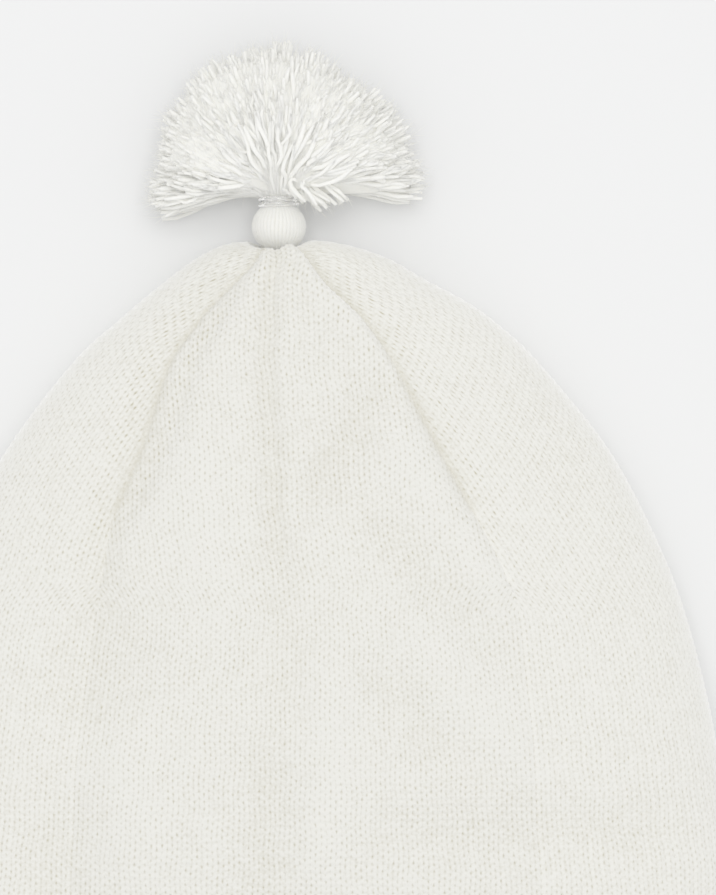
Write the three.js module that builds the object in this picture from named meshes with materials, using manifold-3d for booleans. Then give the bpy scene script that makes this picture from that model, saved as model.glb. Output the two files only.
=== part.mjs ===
// A fine-knit nightcap with a ball-headed tassel, lying on its back as it is put down after wear.
// Millimetres, +Z up. X runs across the cap and Y from the hem to the tassel. The cap lies on z = 0,
// with the origin under the middle of its whole length.

import * as THREE from 'three';
import { mergeVertices } from 'three/addons/utils/BufferGeometryUtils.js';
import Module from 'manifold-3d';

const wasm = await Module();
wasm.setup();

// Crown
const crownLength = 170; // from the hem to the gathered tip
const crownWidth = 166; // at its widest, lying
const crownHeight = 40; // at its fullest, lying
const sideHeight = 10.8; // of the widest level above the surface
const tipHeight = 12; // of the gathered tip's middle above the surface
const tipShift = -5.2; // the tip lies to the left of the middle
const crownWall = 1.8;
const hemDepth = 12; // the turned-in hem, which makes the wall double
const hemWall = 3;
const seatDepth = 1.7; // how far the gathered crown stands up round the tassel's head
const crestRoundness = 2.1; // exponent of the upper half of a section, where 2 is an ellipse
const restRoundness = 2.6; // exponent of the lower half, before it is flattened

// Tassel
const seatClearance = 0.3;
const headDiameter = 10.3;
const headLength = 8;
const headRidges = 14; // yarns that show round the head
const ridgeHeight = 0.22;
const neckDiameter = 6.6;
const threadDiameter = 0.9;
const threadTurns = 2;
const threadClearance = 0.42;
const strandReach = 31; // from the neck to the tips
const leftReach = 0.84; // share of that on the fan's left
const strandSpread = 0.66; // height of the fan over its width
const layForward = 1.4; // how far a lock that meets the surface lies forward, for each mm it is held up
const lockDiameter = 7.2; // at its thickest, near the tip
const lockRoot = 2.6; // its diameter at the neck

// Sections of the crown, from the hem to the bottom of the seat at the tip.
// at: share of crownLength from the hem. lift: share of seatDepth beyond that.
// half: half width as a share of half crownWidth. seat: share of the head's radius added to it, and to the rise.
// tip: how far the section's middle has moved from sideHeight to tipHeight. shift: share of tipShift.
// rise: share of the height above the middle. drop: share of the depth below it, where 1 reaches the surface.
// press: share of that depth that is flattened on the surface. turn: share of the girth that the front turns by.
// gore: share of the girth that the front gore takes, and the back one. loops: grid loops up to the next row.
const SECTION_COLUMNS = ['at', 'lift', 'half', 'seat', 'tip', 'shift', 'rise', 'drop', 'press', 'turn', 'gore', 'loops'];
const SECTIONS = [
  [0, 0, 0.975, 0, 0, 0, 0.62, 1, 0.37, 0, 0.25, 3],
  [0.12, 0, 0.993, 0, 0, 0, 0.78, 1, 0.37, 0, 0.25, 2],
  [0.27, 0, 0.998, 0, 0, 0, 0.93, 1, 0.37, 0, 0.25, 2],
  [0.38, 0, 0.97, 0, 0, 0, 1, 1, 0.37, 0, 0.25, 2],
  [0.49, 0, 0.931, 0, 0, 0, 1, 1, 0.37, 0, 0.25, 2],
  [0.604, 0, 0.868, 0, 0, 0, 0.97, 1, 0.37, 0, 0.25, 2],
  [0.695, 0, 0.788, 0, 0, -0.03, 0.91, 1, 0.35, -0.004, 0.236, 2],
  [0.785, 0, 0.682, 0, 0.1, -0.07, 0.83, 1, 0.32, -0.01, 0.213, 2],
  [0.875, 0, 0.535, 0, 0.3, -0.01, 0.71, 1, 0.26, -0.019, 0.203, 2],
  [0.92, 0, 0.433, 0, 0.5, 0, 0.62, 0.99, 0.18, -0.025, 0.19, 1],
  [0.9435, 0, 0.37, 0, 0.7, 0.12, 0.56, 0.97, 0.1, -0.028, 0.174, 1],
  [0.966, 0, 0.298, 0, 0.9, 0.36, 0.485, 0.93, 0.04, -0.027, 0.15, 1],
  [0.989, 0, 0.203, 0.35, 1, 0.5, 0.35, 0.85, 0, -0.022, 0.125, 1],
  [1, 0.4, 0.07, 1.4, 1, 0.75, 0.09, 0.73, 0, -0.015, 0.12, 1],
  [1, 1, 0, 1.6, 1, 0.92, 0, 0.54, 0, -0.01, 0.12, 1],
  [1, 0.4, 0, 0.8, 1, 1, 0, 0.31, 0, -0.01, 0.12, 1],
  [1, 0, 0, 0.3, 1, 1, 0, 0.1, 0, -0.01, 0.12, 0],
].map((row) => Object.fromEntries(row.map((value, i) => [SECTION_COLUMNS[i], value])));
const seatRow = 12; // the wall's inner face follows the sections up to this row, where the gathering closes it

// Folds and dents, each along a line from one place to another.
// around: places round the girth from the front's middle, + to the right, with 0.25 to a gore. at: share of crownLength from the hem.
// width and depth: shares of crownWidth and crownHeight.
const FOLDS = [
  { name: 'left decrease line', around: [-0.125, -0.125], at: [0.985, 0.6], width: 0.016, depth: 0.03 },
  { name: 'right decrease line', around: [0.125, 0.125], at: [0.985, 0.68], width: 0.014, depth: 0.036 },
  { name: 'back left decrease line', around: [-0.375, -0.375], at: [0.985, 0.92], width: 0.016, depth: 0.03 },
  { name: 'back right decrease line', around: [0.375, 0.375], at: [0.985, 0.92], width: 0.016, depth: 0.03 },
  { name: 'middle crease', around: [-0.005, 0.002], at: [0.985, 0.8], width: 0.018, depth: 0.028 },
  { name: 'dip under the head', around: [-0.01, 0.01], at: [1, 0.985], width: 0.03, depth: 0.05 },
  { name: 'short crease beside it', around: [0.05, 0.045], at: [0.985, 0.92], width: 0.014, depth: 0.02 },
  { name: 'crease inside the left line', around: [-0.097, -0.115], at: [0.93, 0.72], width: 0.018, depth: 0.026 },
  { name: 'dent right of the middle', around: [0.085, 0.03], at: [0.83, 0.74], width: 0.03, depth: 0.032 },
  { name: 'left end of the left line', around: [-0.12, -0.135], at: [0.56, 0.46], width: 0.05, depth: 0.03 },
  { name: 'lower middle dent', around: [-0.03, -0.02], at: [0.36, 0.24], width: 0.045, depth: 0.034 },
  { name: 'lower right dent', around: [0.06, 0.19], at: [0.33, 0.34], width: 0.05, depth: 0.03 },
  { name: 'right slope', around: [0.07, 0.125], at: [0.6, 0.52], width: 0.035, depth: 0.024 },
];
const foldFade = 0.05; // share of crownLength over which a fold fades out past its ends

// Rings of locks in the tassel's fan, from its middle outwards.
// polar: degrees from the tassel's axis. reach: share of strandReach.
const LOCK_RINGS = [
  { polar: 0, count: 1, reach: 1 },
  { polar: 26, count: 6, reach: 1 },
  { polar: 50, count: 10, reach: 1 },
  { polar: 73, count: 12, reach: 0.98 },
  { polar: 95, count: 12, reach: 0.97 },
];

// Mesh densities
const girthSteps = 64; // a multiple of 8, so that a grid line runs along each decrease line
const sectionSamples = 360;
const rimSteps = 4;
const ridgeSteps = 3;
const headRows = 9;
const threadSides = 6;
const threadSteps = 24;
const lockSides = 6;
const lockSteps = 4;

const headRadius = headDiameter / 2;
const neckRadius = neckDiameter / 2;
const threadRadius = threadDiameter / 2;
const neckLength = threadTurns * threadDiameter;
const rimBulge = hemWall / 2;
const tasselLength = seatClearance + headLength + neckLength + seatClearance + strandReach;
const totalLength = rimBulge + crownLength + tasselLength;
const tipY = totalLength / 2 - tasselLength;

// A solid from a closed list of vertices and triangles.
function meshGeometry(points, triangles) {
  const geometry = new THREE.BufferGeometry();
  geometry.setAttribute('position', new THREE.Float32BufferAttribute(points.flat(), 3));
  geometry.setIndex(triangles);
  return geometry;
}

function solidOf(geometry) {
  const plain = geometry.clone();
  plain.deleteAttribute('normal');
  plain.deleteAttribute('uv');
  const merged = mergeVertices(plain, 1e-4);
  return new wasm.Manifold(new wasm.Mesh({
    numProp: 3,
    vertProperties: merged.attributes.position.array,
    triVerts: new Uint32Array(merged.index.array),
  }));
}

function geometryOf(solid) {
  const { numProp, vertProperties, triVerts } = solid.getMesh();
  const geometry = new THREE.BufferGeometry();
  const buffer = new THREE.InterleavedBuffer(new Float32Array(vertProperties), numProp);
  geometry.setAttribute('position', new THREE.InterleavedBufferAttribute(buffer, 3, 0));
  geometry.setIndex(new THREE.BufferAttribute(new Uint32Array(triVerts), 1));
  return geometry.toNonIndexed();
}

// Triangles that close loops of equal length one to the next, with a fan at each end that has a pole.
function skin(loopCount, steps, startPole, endPole) {
  const triangles = [];
  for (let row = 0; row + 1 < loopCount; row++) {
    for (let step = 0; step < steps; step++) {
      const next = (step + 1) % steps;
      const [a, b] = [row * steps + step, row * steps + next];
      triangles.push(a, b, b + steps, a, b + steps, a + steps);
    }
  }
  for (let step = 0; step < steps; step++) {
    const next = (step + 1) % steps;
    if (startPole !== undefined) triangles.push(startPole, next, step);
    const last = (loopCount - 1) * steps;
    if (endPole !== undefined) triangles.push(endPole, last + step, last + next);
  }
  return triangles;
}

// A smooth curve through the rows of SECTIONS, read at a row number that may lie between two rows.
function sectionAt(place) {
  const row = Math.min(Math.floor(place), SECTIONS.length - 2);
  const share = place - row;
  const near = [-1, 0, 1, 2].map((k) => SECTIONS[THREE.MathUtils.clamp(row + k, 0, SECTIONS.length - 1)]);
  const read = (column) => {
    const [a, b, c, d] = near.map((section) => section[column]);
    return b + 0.5 * share * (c - a + share * (2 * a - 5 * b + 4 * c - d + share * (3 * (b - c) + d - a)));
  };
  const middle = sideHeight + (tipHeight - sideHeight) * read('tip');
  const seat = read('seat') * headRadius;
  return {
    at: read('at'),
    y: tipY + (read('at') - 1) * crownLength + read('lift') * seatDepth,
    x: read('shift') * tipShift,
    half: (read('half') * crownWidth) / 2 + seat,
    middle,
    rise: read('rise') * (crownHeight - sideHeight) + seat,
    drop: Math.min(read('drop'), 1) * middle,
    press: read('press') * middle,
    turn: read('turn'),
    gore: read('gore'),
  };
}

// The share of the girth at an even place round it, where each gore has a quarter of the places.
function goreShare(place, gore) {
  const half = Math.round(place * 2) / 2;
  const aside = place - half;
  const past = Math.max(0, Math.abs(aside) - 0.125);
  return half + Math.sign(aside) * ((Math.abs(aside) - past) * gore * 4 + past * (2 - gore * 4));
}

// The outline of a section: an arched upper half and a lower half that the surface flattens,
// as points at even steps of each gore, starting at the front's middle and going to the right.
function sectionLoop(section) {
  const outline = [];
  for (let sample = 0; sample <= sectionSamples; sample++) {
    const angle = Math.PI / 2 - (2 * Math.PI * sample) / sectionSamples;
    const across = Math.cos(angle);
    const upper = Math.sin(angle) >= 0;
    const power = upper ? crestRoundness : restRoundness;
    const arch = Math.max(0, 1 - Math.abs(across) ** power) ** (1 / power);
    const low = Math.max(-(section.drop + section.press) * arch, -section.drop);
    outline.push([section.x + across * section.half, section.middle + (upper ? section.rise * arch : low)]);
  }
  const lengths = [0];
  for (let i = 1; i < outline.length; i++) {
    const [[x0, z0], [x1, z1]] = [outline[i - 1], outline[i]];
    lengths.push(lengths[i - 1] + Math.hypot(x1 - x0, z1 - z0));
  }
  const girth = lengths.at(-1);
  const points = [];
  for (let step = 0, i = 0; step < girthSteps; step++) {
    const share = section.turn + goreShare(step / girthSteps, section.gore);
    const length = THREE.MathUtils.euclideanModulo(share, 1) * girth;
    if (length < lengths[i]) i = 0;
    while (i + 2 < lengths.length && lengths[i + 1] < length) i++;
    const part = (length - lengths[i]) / (lengths[i + 1] - lengths[i]);
    const [[x0, z0], [x1, z1]] = [outline[i], outline[i + 1]];
    points.push(new THREE.Vector3(x0 + (x1 - x0) * part, section.y, z0 + (z1 - z0) * part));
  }
  return { points, girth, at: section.at };
}

// How deep the folds are at a place on the crown: a soft valley along each fold's line.
function foldDepth(around, at, girth) {
  let depth = 0;
  for (const fold of FOLDS) {
    const turn = THREE.MathUtils.euclideanModulo(around - fold.around[0] + 0.5, 1) - 0.5;
    const place = new THREE.Vector2(turn * girth, (at - fold.at[0]) * crownLength);
    const line = new THREE.Vector2(
      (fold.around[1] - fold.around[0]) * girth,
      (fold.at[1] - fold.at[0]) * crownLength,
    );
    const length = line.length();
    const along = place.dot(line) / length;
    const across = place.cross(line) / length / (fold.width * crownWidth);
    const past = Math.max(0, -along, along - length) / (foldFade * crownLength);
    depth += fold.depth * crownHeight * Math.exp(-across * across - past * past);
  }
  return depth;
}

// Outward normals of a grid of loops, from the neighbours of each point.
function gridNormals(loops) {
  return loops.map((loop, row) => loop.map((point, step) => {
    const round = loop[(step + 1) % girthSteps].clone().sub(loop[(step + girthSteps - 1) % girthSteps]);
    const along = loops[Math.min(row + 1, loops.length - 1)][step].clone().sub(loops[Math.max(row - 1, 0)][step]);
    return round.cross(along).normalize();
  }));
}

// The crown is one knitted shell, open at the hem and gathered shut at the tip.
function makeCrown() {
  const places = [];
  SECTIONS.forEach(({ loops }, row) => {
    for (let i = 0; i < loops; i++) places.push(row + i / loops);
  });
  places.push(SECTIONS.length - 1);

  const sections = places.map((place) => sectionLoop(sectionAt(place)));
  const smooth = sections.map(({ points }) => points);
  const normals = gridNormals(smooth);
  const outer = smooth.map((loop, row) => loop.map((point, step) => {
    const { at, girth } = sections[row];
    const depth = foldDepth(step / girthSteps, at, girth);
    const moved = point.clone().addScaledVector(normals[row][step], -depth);
    moved.z = Math.max(moved.z, Math.min(point.z, 0));
    return moved;
  }));

  // The wall is double as far as the hem is turned in.
  const wallAt = (y) => {
    const past = (y - (tipY - crownLength) - hemDepth) / hemWall;
    return THREE.MathUtils.lerp(hemWall, crownWall, THREE.MathUtils.smoothstep(past, 0, 1));
  };
  const innerRows = places.filter((place) => place <= seatRow).length;
  const inner = outer.slice(0, innerRows).map((loop, row) => loop.map((point, step) => (
    point.clone().addScaledVector(normals[row][step], -wallAt(point.y))
  )));

  // The folded edge of the hem is round, so the rim goes from the outer face to the inner one in a half circle.
  const rim = [];
  for (let i = 1; i < rimSteps; i++) {
    const angle = (Math.PI * i) / rimSteps;
    rim.push(inner[0].map((point, step) => {
      const bend = point.clone().lerp(outer[0][step], (1 + Math.cos(angle)) / 2);
      bend.y -= (Math.sin(angle) * hemWall) / 2;
      return bend;
    }));
  }

  const loops = [...inner].reverse().concat([...rim].reverse(), outer);
  const points = loops.flat().map((point) => point.toArray());
  const gatherY = tipY - seatClearance - crownWall;
  points.push([tipShift, Math.max(gatherY, inner.at(-1)[0].y), tipHeight], [tipShift, tipY - seatClearance, tipHeight]);
  return meshGeometry(points, skin(loops.length, girthSteps, points.length - 2, points.length - 1));
}

// A body of revolution about +Y whose radius may vary round it, given as rows of [y, radius, ridge].
function turned(rows, steps, ridges) {
  const points = rows.flatMap(([y, radius, ridge]) => Array.from({ length: steps }, (_, step) => {
    const angle = (2 * Math.PI * step) / steps;
    const r = radius + ridge * Math.cos(ridges * angle);
    return [r * Math.sin(angle), y, r * Math.cos(angle)];
  }));
  points.push([0, rows[0][0], 0], [0, rows.at(-1)[0], 0]);
  return meshGeometry(points, skin(rows.length, steps, points.length - 2, points.length - 1));
}

// The head is a ball wrapped in yarn, and its yarns run on through the neck.
function makeHead() {
  const rows = [];
  const neckAngle = Math.acos(neckRadius / headRadius);
  const poleAngle = THREE.MathUtils.lerp(-Math.PI / 2, 0, 0.12);
  for (let row = 0; row < headRows; row++) {
    const angle = THREE.MathUtils.lerp(poleAngle, neckAngle, row / (headRows - 1));
    const ridge = ridgeHeight * Math.cos(angle);
    const height = THREE.MathUtils.mapLinear(Math.sin(angle), Math.sin(poleAngle), Math.sin(neckAngle), 0, headLength);
    rows.push([height, headRadius * Math.cos(angle), ridge]);
  }
  rows.push([headLength + neckLength, neckRadius - ridgeHeight, 0]);
  return turned(rows, headRidges * ridgeSteps, headRidges);
}

// The binding is a clear thread wound round the neck, with its knot at the front left.
function makeBinding() {
  const radius = neckRadius + threadClearance + threadRadius;
  const knotTurn = THREE.MathUtils.degToRad(-35);
  const turns = Array.from({ length: threadTurns }, (_, turn) => {
    const loop = new THREE.TorusGeometry(radius, threadRadius * 1.08, threadSides, threadSteps);
    return loop.rotateX(Math.PI / 2).translate(0, (turn + 0.5) * threadDiameter, 0);
  });
  const knot = new THREE.IcosahedronGeometry(threadDiameter, 1);
  knot.translate(radius * Math.sin(knotTurn), neckLength / 2, radius * Math.cos(knotTurn) + threadRadius / 2);
  return geometryOf(wasm.Manifold.union([...turns, knot].map(solidOf)));
}

// A lock of strands along a curve, thin at its root, full near its tip and rounded off.
function makeLock(curve) {
  const frames = curve.computeFrenetFrames(lockSteps, false);
  const points = [];
  for (let row = 0; row <= lockSteps; row++) {
    const along = row / lockSteps;
    const centre = curve.getPointAt(along);
    const swell = THREE.MathUtils.lerp(lockRoot, lockDiameter, Math.min(1, along * 1.25)) / 2;
    const radius = row === lockSteps ? swell * 0.62 : swell;
    for (let side = 0; side < lockSides; side++) {
      const angle = (2 * Math.PI * side) / lockSides;
      const point = centre.clone();
      point.addScaledVector(frames.normals[row], radius * Math.cos(angle));
      point.addScaledVector(frames.binormals[row], radius * Math.sin(angle));
      points.push([point.x, point.y, Math.max(point.z, 0)]);
    }
  }
  points.push(curve.getPointAt(0).toArray(), curve.getPointAt(1).toArray());
  return meshGeometry(points, skin(lockSteps + 1, lockSides, points.length - 2, points.length - 1));
}

// The skirt is a fan of locks round the tassel's axis, flattened by its own weight, fused to a core at the neck.
// Its lower locks lie on the surface.
function makeSkirt(neckY) {
  const neck = new THREE.Vector3(tipShift, neckY, tipHeight);
  const lift = lockDiameter * 0.28;
  const locks = LOCK_RINGS.flatMap(({ polar, count, reach }, ring) => Array.from({ length: count }, (_, i) => {
    const lean = THREE.MathUtils.degToRad(polar);
    const turn = (2 * Math.PI * (i + 0.5 * (ring % 2))) / count;
    const left = Math.max(0, -Math.cos(turn)) * Math.sin(lean);
    const length = strandReach * reach * THREE.MathUtils.lerp(1, leftReach, left);
    const tip = neck.clone().add(new THREE.Vector3(
      length * Math.sin(lean) * Math.cos(turn),
      length * Math.cos(lean),
      length * Math.sin(lean) * Math.sin(turn) * strandSpread,
    ));
    tip.y += Math.max(0, lift - tip.z) * layForward;
    tip.z = Math.max(tip.z, lift);
    const bend = neck.clone().lerp(tip, 0.55);
    bend.y += length * 0.12 * Math.sin(lean);
    bend.z = Math.max(bend.z, lift);
    const root = neck.clone().lerp(tip, 0.04);
    root.y += lockRoot;
    return makeLock(new THREE.QuadraticBezierCurve3(root, bend, tip));
  }));
  const core = turned([[0, neckRadius, 0], [neckRadius, neckRadius * 1.5, 0], [2.4 * neckRadius, neckRadius, 0]], 12, 1);
  core.translate(...neck.toArray());
  return geometryOf(wasm.Manifold.union([core, ...locks].map(solidOf)));
}

const whiteKnit = { color: 0xe9e9e0, roughness: 0.95, metalness: 0 };
const whiteYarn = { color: 0xefeee9, roughness: 0.9, metalness: 0 };
const clearThread = { color: 0xf4f4f2, roughness: 0.25, metalness: 0 };

function part(name, geometry, finish, ...position) {
  geometry.computeVertexNormals();
  const mesh = new THREE.Mesh(geometry, new THREE.MeshStandardMaterial(finish));
  mesh.name = name;
  mesh.position.set(...position);
  return mesh;
}

const headY = tipY;
const neckY = headY + headLength;
const skirtY = neckY + neckLength + seatClearance;

const nightcap = new THREE.Group();
nightcap.add(
  part('crown', makeCrown(), whiteKnit, 0, 0, 0),
  part('tassel_head', makeHead(), whiteYarn, tipShift, headY, tipHeight),
  part('tassel_binding', makeBinding(), clearThread, tipShift, neckY, tipHeight),
  part('tassel_skirt', makeSkirt(skirtY), whiteYarn, 0, 0, 0),
);

export default nightcap;
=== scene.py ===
"""A fine-knit nightcap with a ball-headed tassel, lying on its back and seen from straight above.

The crown is a grid of real stitch relief in four gores. The tassel is a wound ball, a clear binding
and a fan of two-ply strands over a packed core. Both follow the solid model's named sizes; here the
folds are a little deeper, the fan a little lower, and its strands gathered into locks. Lengths in
the classes are in millimetres, and meshes are written in metres.
"""

from __future__ import annotations

import logging
import math
from dataclasses import dataclass, fields
from enum import Enum
from functools import partialmethod

import bpy
import numpy as np
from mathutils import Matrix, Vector

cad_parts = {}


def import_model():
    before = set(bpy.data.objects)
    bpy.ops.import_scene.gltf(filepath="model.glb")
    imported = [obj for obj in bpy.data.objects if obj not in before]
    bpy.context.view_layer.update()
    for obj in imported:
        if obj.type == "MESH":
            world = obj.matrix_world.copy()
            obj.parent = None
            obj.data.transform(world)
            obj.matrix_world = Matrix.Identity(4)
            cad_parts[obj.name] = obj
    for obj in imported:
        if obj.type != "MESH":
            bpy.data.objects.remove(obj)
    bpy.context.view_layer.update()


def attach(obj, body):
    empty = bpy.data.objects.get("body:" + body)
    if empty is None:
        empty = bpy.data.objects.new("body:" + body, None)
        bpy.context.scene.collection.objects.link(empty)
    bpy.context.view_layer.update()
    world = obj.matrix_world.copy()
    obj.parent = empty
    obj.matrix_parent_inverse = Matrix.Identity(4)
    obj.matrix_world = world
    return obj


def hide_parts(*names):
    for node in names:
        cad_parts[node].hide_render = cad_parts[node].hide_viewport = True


MM = 0.001
LOG = logging.getLogger("nightcap")
Array = np.ndarray
Triple = tuple[float, float, float]
Material = bpy.types.Material
Piece = bpy.types.Object
Socket = bpy.types.NodeSocket


class Side(Enum):
    """A gore of the crown, by the share of the girth at its middle."""

    FRONT = 0.0
    RIGHT = 0.25
    BACK = 0.5
    LEFT = -0.25


@dataclass(frozen=True)
class Section:
    """One section across the crown; see CrownForm for how its shares are used."""

    at: float
    lift: float
    half: float
    seat: float
    tip: float
    shift: float
    rise: float
    drop: float
    press: float
    turn: float
    gore: float


SECTIONS = (
    Section(0, 0, 0.975, 0, 0, 0, 0.62, 1, 0.37, 0, 0.25),
    Section(0.12, 0, 0.993, 0, 0, 0, 0.78, 1, 0.37, 0, 0.25),
    Section(0.27, 0, 0.998, 0, 0, 0, 0.93, 1, 0.37, 0, 0.25),
    Section(0.38, 0, 0.97, 0, 0, 0, 1, 1, 0.37, 0, 0.25),
    Section(0.49, 0, 0.931, 0, 0, 0, 1, 1, 0.37, 0, 0.25),
    Section(0.604, 0, 0.868, 0, 0, 0, 0.97, 1, 0.37, 0, 0.25),
    Section(0.695, 0, 0.788, 0, 0, -0.03, 0.91, 1, 0.35, -0.008, 0.242),
    Section(0.785, 0, 0.682, 0, 0.1, -0.07, 0.83, 1, 0.32, -0.014, 0.221),
    Section(0.875, 0, 0.535, 0, 0.3, -0.01, 0.71, 1, 0.26, -0.024, 0.213),
    Section(0.92, 0, 0.433, 0, 0.5, 0, 0.62, 0.99, 0.18, -0.029, 0.198),
    Section(0.9435, 0, 0.37, 0, 0.7, 0.12, 0.56, 0.97, 0.1, -0.031, 0.18),
    Section(0.966, 0, 0.298, 0, 0.9, 0.36, 0.485, 0.93, 0.04, -0.028, 0.153),
    Section(0.989, 0, 0.203, 0.35, 1, 0.5, 0.35, 0.85, 0, -0.022, 0.125),
    Section(1, 0.4, 0.07, 1.3, 1, 0.75, 0.09, 0.73, 0, -0.015, 0.12),
    Section(1, 1, 0, 1.3, 1, 0.92, 0, 0.54, 0, -0.01, 0.12),
    Section(1, 0.5, 0, 0.9, 1, 1, 0, 0.31, 0, -0.01, 0.12),
    Section(1, 0, 0, 0.3, 1, 1, 0, 0.1, 0, -0.01, 0.12),
)


@dataclass(frozen=True)
class Fold:
    """A soft valley, or a ridge where its depth is negative, along a line on the crown.

    around is the share of the girth from the front's middle at each end, + to the right, and at the
    share of the crown's length there. width and depth are shares of the crown's width and height.
    """

    around: tuple[float, float]
    at: tuple[float, float]
    width: float
    depth: float


FOLDS = (
    Fold((-0.125, -0.125), (0.97, 0.66), 0.023, 0.055),
    Fold((0.125, 0.125), (0.985, 0.74), 0.013, 0.045),
    Fold((-0.375, -0.375), (0.985, 0.92), 0.016, 0.03),
    Fold((0.375, 0.375), (0.985, 0.92), 0.016, 0.03),
    Fold((-0.09, -0.108), (0.92, 0.74), 0.018, 0.036),
    Fold((-0.016, -0.014), (0.975, 0.68), 0.016, 0.052),
    Fold((-0.014, -0.006), (0.59, 0.5), 0.035, 0.03),
    Fold((0.05, 0.045), (0.985, 0.92), 0.012, 0.02),
    Fold((0.08, 0.028), (0.825, 0.75), 0.03, 0.05),
    Fold((0.0625, 0.1), (0.67, 0.56), 0.035, 0.034),
    Fold((0.045, 0.073), (0.51, 0.45), 0.03, 0.03),
    Fold((-0.018, -0.02), (0.4, 0.27), 0.04, 0.05),
    Fold((-0.13, -0.13), (0.34, 0.27), 0.05, 0.04),
    Fold((0.06, 0.18), (0.35, 0.35), 0.035, 0.034),
    Fold((-0.12, -0.118), (0.57, 0.5), 0.06, 0.04),
    Fold((0.24, 0.2), (0.83, 0.75), 0.04, 0.015),
    Fold((0.097, 0.115), (0.953, 0.887), 0.018, -0.02),
    Fold((0.092, 0.113), (0.774, 0.618), 0.028, -0.034),
    Fold((0.077, 0.107), (0.552, 0.462), 0.04, -0.034),
    Fold((0.014, 0.008), (0.496, 0.33), 0.032, -0.034),
    Fold((-0.07, -0.054), (0.752, 0.652), 0.04, -0.024),
    Fold((-0.095, -0.093), (0.43, 0.34), 0.04, -0.024),
)


# Corners of the section through the packed inside of the fan, from its rim over its top. Each is a
# share of the strands' length out from the neck, and a height above the table.
CORE = (
    (0.68, 7.3),
    (0.86, 13.0),
    (0.81, 17.4),
    (0.66, 21.6),
    (0.5, 23.8),
    (0.36, 23.6),
    (0.22, 20.9),
    (0.1, 16.9),
    (0.04, 14.0),
    (0.05, 10.5),
    (0.25, 6.0),
    (0.4, 4.0),
    (0.5, 4.6),
)


@dataclass(frozen=True)
class TasselSizes:
    """Sizes of the tassel, in millimetres, degrees and shares.

    A strand's rise is the sine of its elevation from the neck. The openings are how far the fan
    opens to each side at the neck's height and at its top. The reaches at its left and right are
    shares of the full one.
    """

    seat_clearance: float = 0.3
    head_diameter: float = 10.3
    head_length: float = 8.0
    head_yarns: int = 42
    head_bulge: float = 0.2
    neck_diameter: float = 6.6
    thread_diameter: float = 0.9
    thread_turns: int = 2
    strand_reach: float = 31.0
    left_reach: float = 0.84
    right_reach: float = 0.93
    usual_length: float = 0.925
    handle_share: float = 0.36
    strand_spread: float = 0.62
    strand_count: int = 1800
    strand_rows: int = 12
    strand_lean: float = 0.6
    lowest_rise: float = -0.54
    highest_rise: float = 0.86
    low_opening: float = 93.0
    high_opening: float = 76.0
    fan_turn: float = -5.0
    most_locks: int = 200
    lock_width: float = 7.0
    lock_pull: float = 0.35
    lock_shift: float = 2.5
    curl_count: int = 34
    core_yarns: int = 76
    core_opening: float = 89.0
    core_reach: float = 0.99
    core_middle: float = 7.0
    fray_fibres: int = 3
    fuzz_fibres: int = 3
    fibre_diameter: float = 0.12
    yarn_diameter: float = 0.75
    ply_pitch: float = 1.9
    seed: int = 23

    @property
    def neck_length(self) -> float:
        """Length of the neck inside the binding."""
        return self.thread_turns * self.thread_diameter

    @property
    def length(self) -> float:
        """Length of the whole tassel, from the crown's tip."""
        return 2 * self.seat_clearance + self.head_length + self.neck_length + self.strand_reach


def unit(ways: Array) -> Array:
    """Vectors scaled to a length of 1."""
    return ways / np.maximum(np.linalg.norm(ways, axis=-1, keepdims=True), 1e-9)


def linked(name: str, data: bpy.types.ID) -> Piece:
    """Makes an object of its data and puts it into the scene."""
    made = bpy.data.objects.new(name, data)
    bpy.context.scene.collection.objects.link(made)
    return made


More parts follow.
